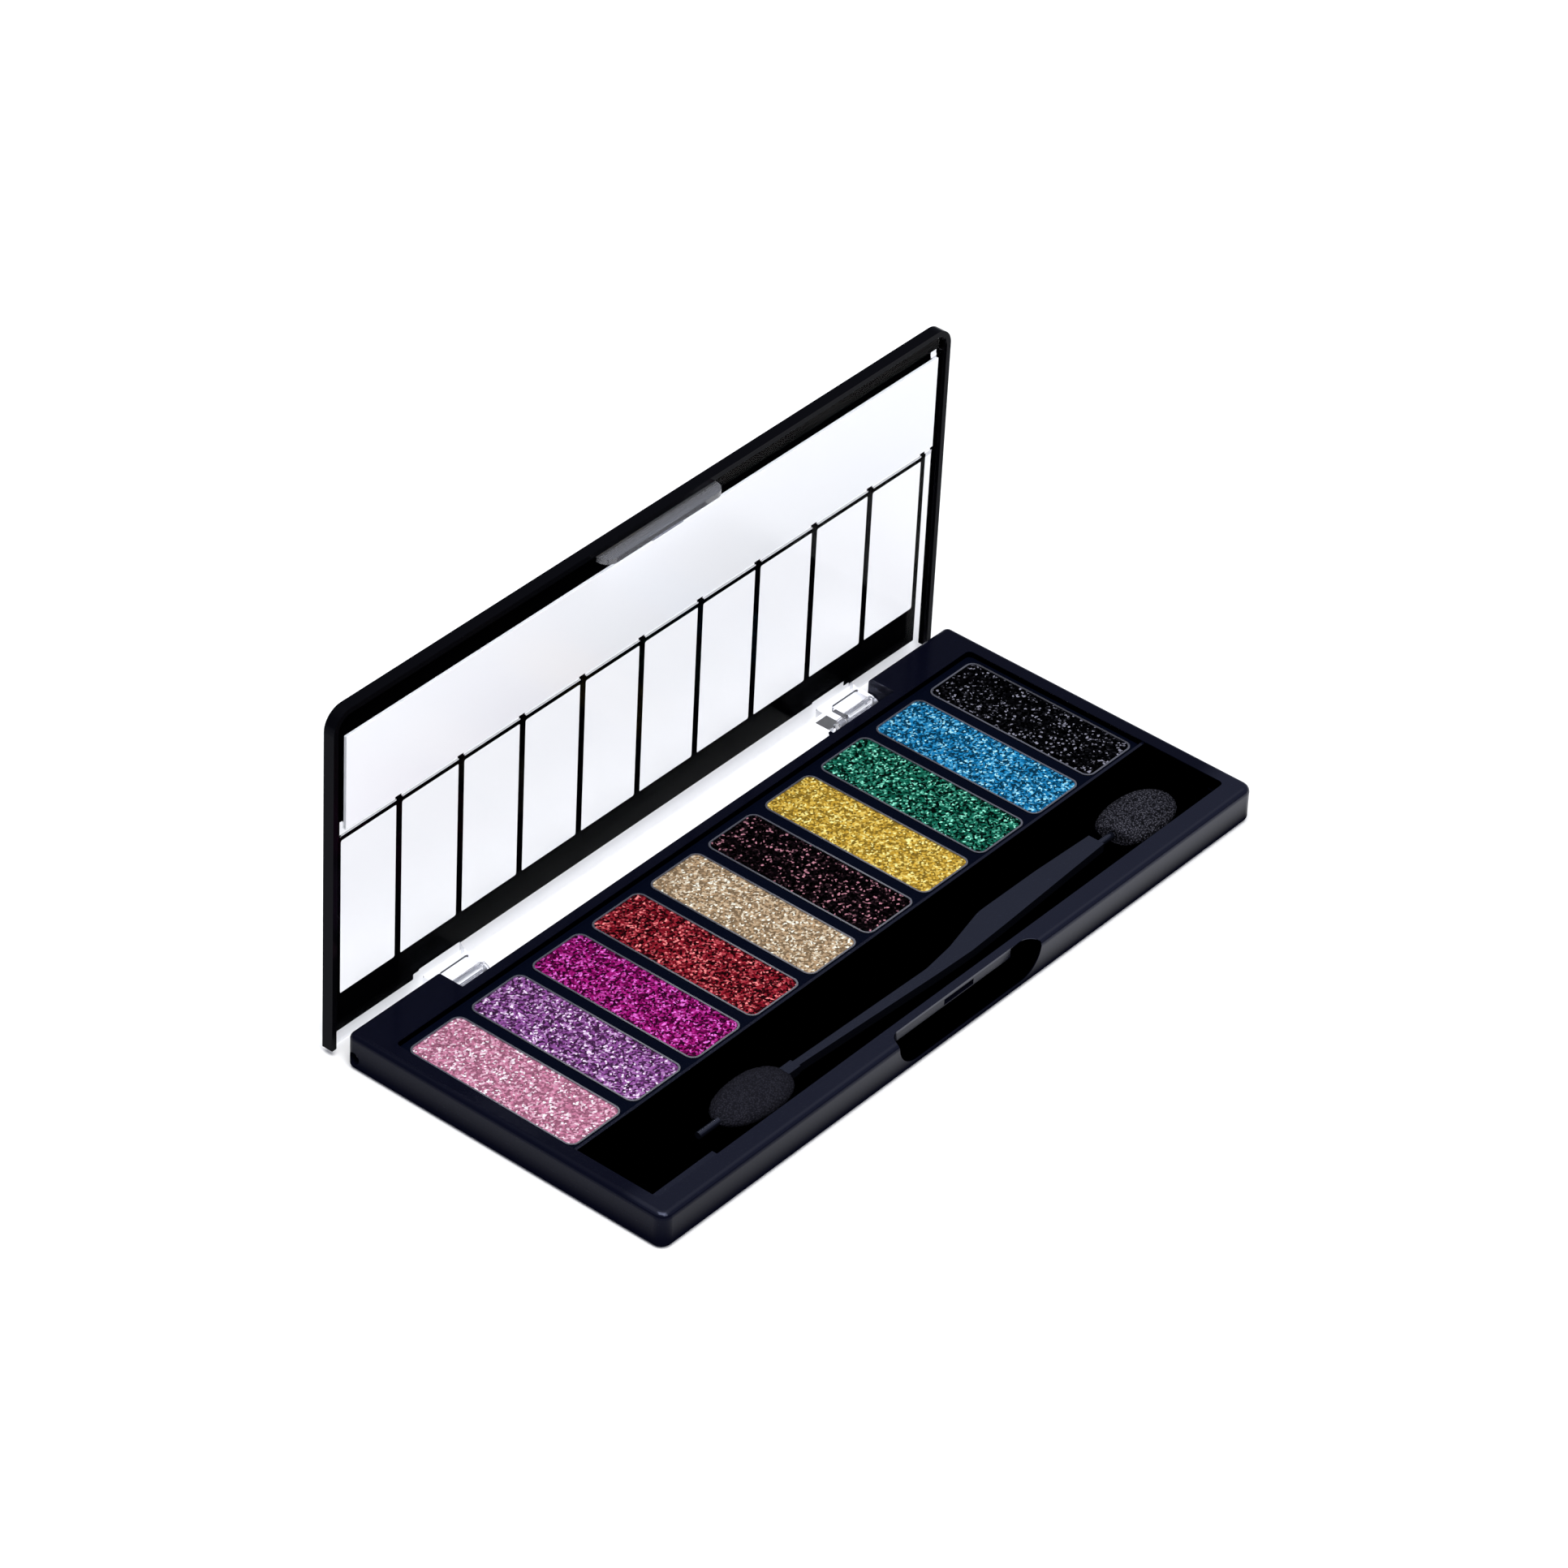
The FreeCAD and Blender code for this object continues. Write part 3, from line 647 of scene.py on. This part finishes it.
def glitter_cake(node, stops, seed):
    """A pressed cake whose top is a jumble of small flat flakes."""
    rng = random.Random(seed)
    low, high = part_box(node)
    mesh = bmesh.new()
    points = flake_points(mesh, rng, low, high)
    for front, rear in zip(points, points[1:]):
        for a, b, c, d in zip(front, front[1:], rear[1:], rear):
            for corners in ((a, b, c), (a, c, d)) if rng.random() < 0.5 else ((a, b, d), (b, c, d)):
                mesh.faces.new(corners)
    bmesh.ops.remove_doubles(mesh, verts=mesh.verts, dist=SAME_POINT)
    bmesh.ops.dissolve_degenerate(mesh, edges=mesh.edges, dist=SLIVER)
    rim = [edge for edge in mesh.edges if edge.is_boundary]
    wall = bmesh.ops.extrude_edge_only(mesh, edges=rim)["geom"]
    for vert in (part for part in wall if isinstance(part, bmesh.types.BMVert)):
        vert.co.z = low.z
    foot = [edge for edge in mesh.edges if edge.is_boundary]
    bmesh.ops.holes_fill(mesh, edges=foot, sides=0)
    bmesh.ops.recalc_face_normals(mesh, faces=mesh.faces)
    material = glitter_material(node, stops)
    return mesh_piece(f"{node}_cake", mesh, node, material, "base")


def sponge_tip(node, tones, seed, cut=0.0, taper=0.0):
    """A foam oval with a porous skin; cut is how far its left end is sliced off, at a slant."""
    rng = random.Random(seed)
    low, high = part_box(node)
    half = (high - low) / 2
    half.x += cut / 2
    centre = high - half
    mesh = bmesh.new()
    bmesh.ops.create_icosphere(mesh, subdivisions=OVAL_DIVISIONS, radius=1.0)
    for vert in mesh.verts:
        unit = vert.co.copy()
        round_girth = max((1 - unit.x ** 2) ** 0.5, POLE_WIDTH)
        girth = (1 - abs(unit.x) ** OVAL_BLUNTNESS) ** 0.5 / round_girth
        girth = min(girth, OVAL_GIRTH_LIMIT) * (1 + taper * (unit.x - 1))
        pit = rng.uniform(DEEPEST_PIT, 1.0)
        x = centre.x + unit.x * half.x * pit
        y = centre.y + max(-1.0, min(1.0, unit.y * girth)) * half.y * pit
        z = centre.z + max(-1.0, min(1.0, unit.z * girth)) * half.z * pit
        slant = low.x + cut * (high.y - y) / (high.y - low.y) * pit
        vert.co = (max(x, slant if cut else x), y, z)
    material = sponge_material(f"{node}_foam", tones)
    piece = mesh_piece(f"{node}_foam", mesh, node, material, "base")
    for face in piece.data.polygons:
        face.use_smooth = True
    return piece


def paint_cad_nodes():
    """Materials for the CAD nodes that stay as they are."""
    nodes = frame["nodes"]
    tin = metal_material("pan_tin", TIN, TIN_ROUGHNESS)
    steel = metal_material("pin_steel", STEEL, STEEL_ROUGHNESS)
    handle = gloss_black("handle_gloss_black", HANDLE_BLACK, HANDLE_ROUGHNESS, level=HANDLE_LEVEL)
    rim = gloss_black("rim_gloss_black", RIM_BLACK, RIM_ROUGHNESS, level=RIM_LEVEL)
    looks = {
        "base_tray": base_material(),
        "pan_frame": frame_material(),
        "pan_glue": plain_material("pad_glue", GLUE_CREAM, GLUE_ROUGHNESS, GLUE_MOTTLE),
        "hinge_pin_left": steel,
        "hinge_pin_right": steel,
        "applicator_handle": handle.material,
        "lid_panel": clear_material(),
        "lid_rim": rim.material,
        "lid_print": print_material(),
        "mirror_tape": plain_material("mirror_tape", TAPE_WHITE, TAPE_ROUGHNESS, TAPE_MOTTLE),
        "mirror": mirror_material(),
    }
    for name, material in looks.items():
        paint(nodes[name], material)
    for name in nodes:
        if name.removeprefix("pan_").isdigit():
            paint(nodes[name], tin)


# ---------------------------------------------------------------- studio
def white_floor():
    """A plain pale floor under the base."""
    mesh = bmesh.new()
    bmesh.ops.create_grid(mesh, x_segments=1, y_segments=1, size=FLOOR_HALF_WIDTH)
    data = bpy.data.meshes.new("studio_floor")
    mesh.to_mesh(data)
    mesh.free()
    floor = bpy.data.objects.new("studio_floor", data)
    floor.location.z = -FLOOR_DROP
    bpy.context.scene.collection.objects.link(floor)
    white = Nodes(
        "studio_floor_white",
        Base_Color=FLOOR_WHITE,
        Roughness=FLOOR_ROUGHNESS,
        Specular_IOR_Level=0.0,
    )
    paint(floor, white.material)


def soft_light(name, azimuth, elevation, distance, size, power):
    """A large square lamp that faces the palette."""
    lamp = bpy.data.lights.new(name, "AREA")
    lamp.size = size
    lamp.energy = power
    obj = bpy.data.objects.new(name, lamp)
    away = direction(math.radians(azimuth), math.radians(elevation))
    obj.location = AIM + away * distance
    obj.rotation_euler = away.to_track_quat("Z", "Y").to_euler()
    bpy.context.scene.collection.objects.link(obj)


def pale_dome():
    """A world that is grey low down and white overhead."""
    world = bpy.data.worlds.new("studio")
    bpy.context.scene.world = world
    world.use_nodes = True
    tree = world.node_tree
    place = tree.nodes.new("ShaderNodeTexCoord")
    split = tree.nodes.new("ShaderNodeSeparateXYZ")
    ramp = tree.nodes.new("ShaderNodeValToRGB")
    for element, height, colour in zip(ramp.color_ramp.elements, DOME_HEIGHTS, (DOME_GREY, WHITE)):
        element.position = height
        element.color = colour
    tree.links.new(place.outputs["Generated"], split.inputs[0])
    tree.links.new(split.outputs["Z"], ramp.inputs["Fac"])
    tree.links.new(ramp.outputs["Color"], tree.nodes["Background"].inputs["Color"])
    tree.nodes["Background"].inputs["Strength"].default_value = DOME_STRENGTH


def camera():
    """The photograph's viewing angle."""
    data = bpy.data.cameras.new("camera")
    data.lens = LENS
    data.sensor_width = SENSOR
    data.clip_start = CLIP_START
    obj = bpy.data.objects.new("camera", data)
    back = direction(AZIMUTH, ELEVATION)
    obj.location = AIM + back * DISTANCE
    turn = back.to_track_quat("Z", "Y") @ Quaternion((0, 0, 1), ROLL)
    obj.rotation_euler = turn.to_euler()
    bpy.context.scene.collection.objects.link(obj)
    bpy.context.scene.camera = obj


camera()
pale_dome()
for lamp_name, settings in LAMPS.items():
    soft_light(lamp_name, *settings)
white_floor()
paint_cad_nodes()
for number, (shade, (word, *look)) in enumerate(SHADES.items()):
    glitter_cake(shade, flake_stops(*look), seed=FIRST_CAKE_SEED + number)
sponge_tip("sponge_tip_left", SPONGE_LEFT_TONES, seed=1, taper=SPONGE_LEFT_TAPER)
sponge_tip("sponge_tip_right", SPONGE_RIGHT_TONES, seed=2, cut=SPONGE_RIGHT_CUT)
bpy.context.scene.view_settings.view_transform = "Standard"
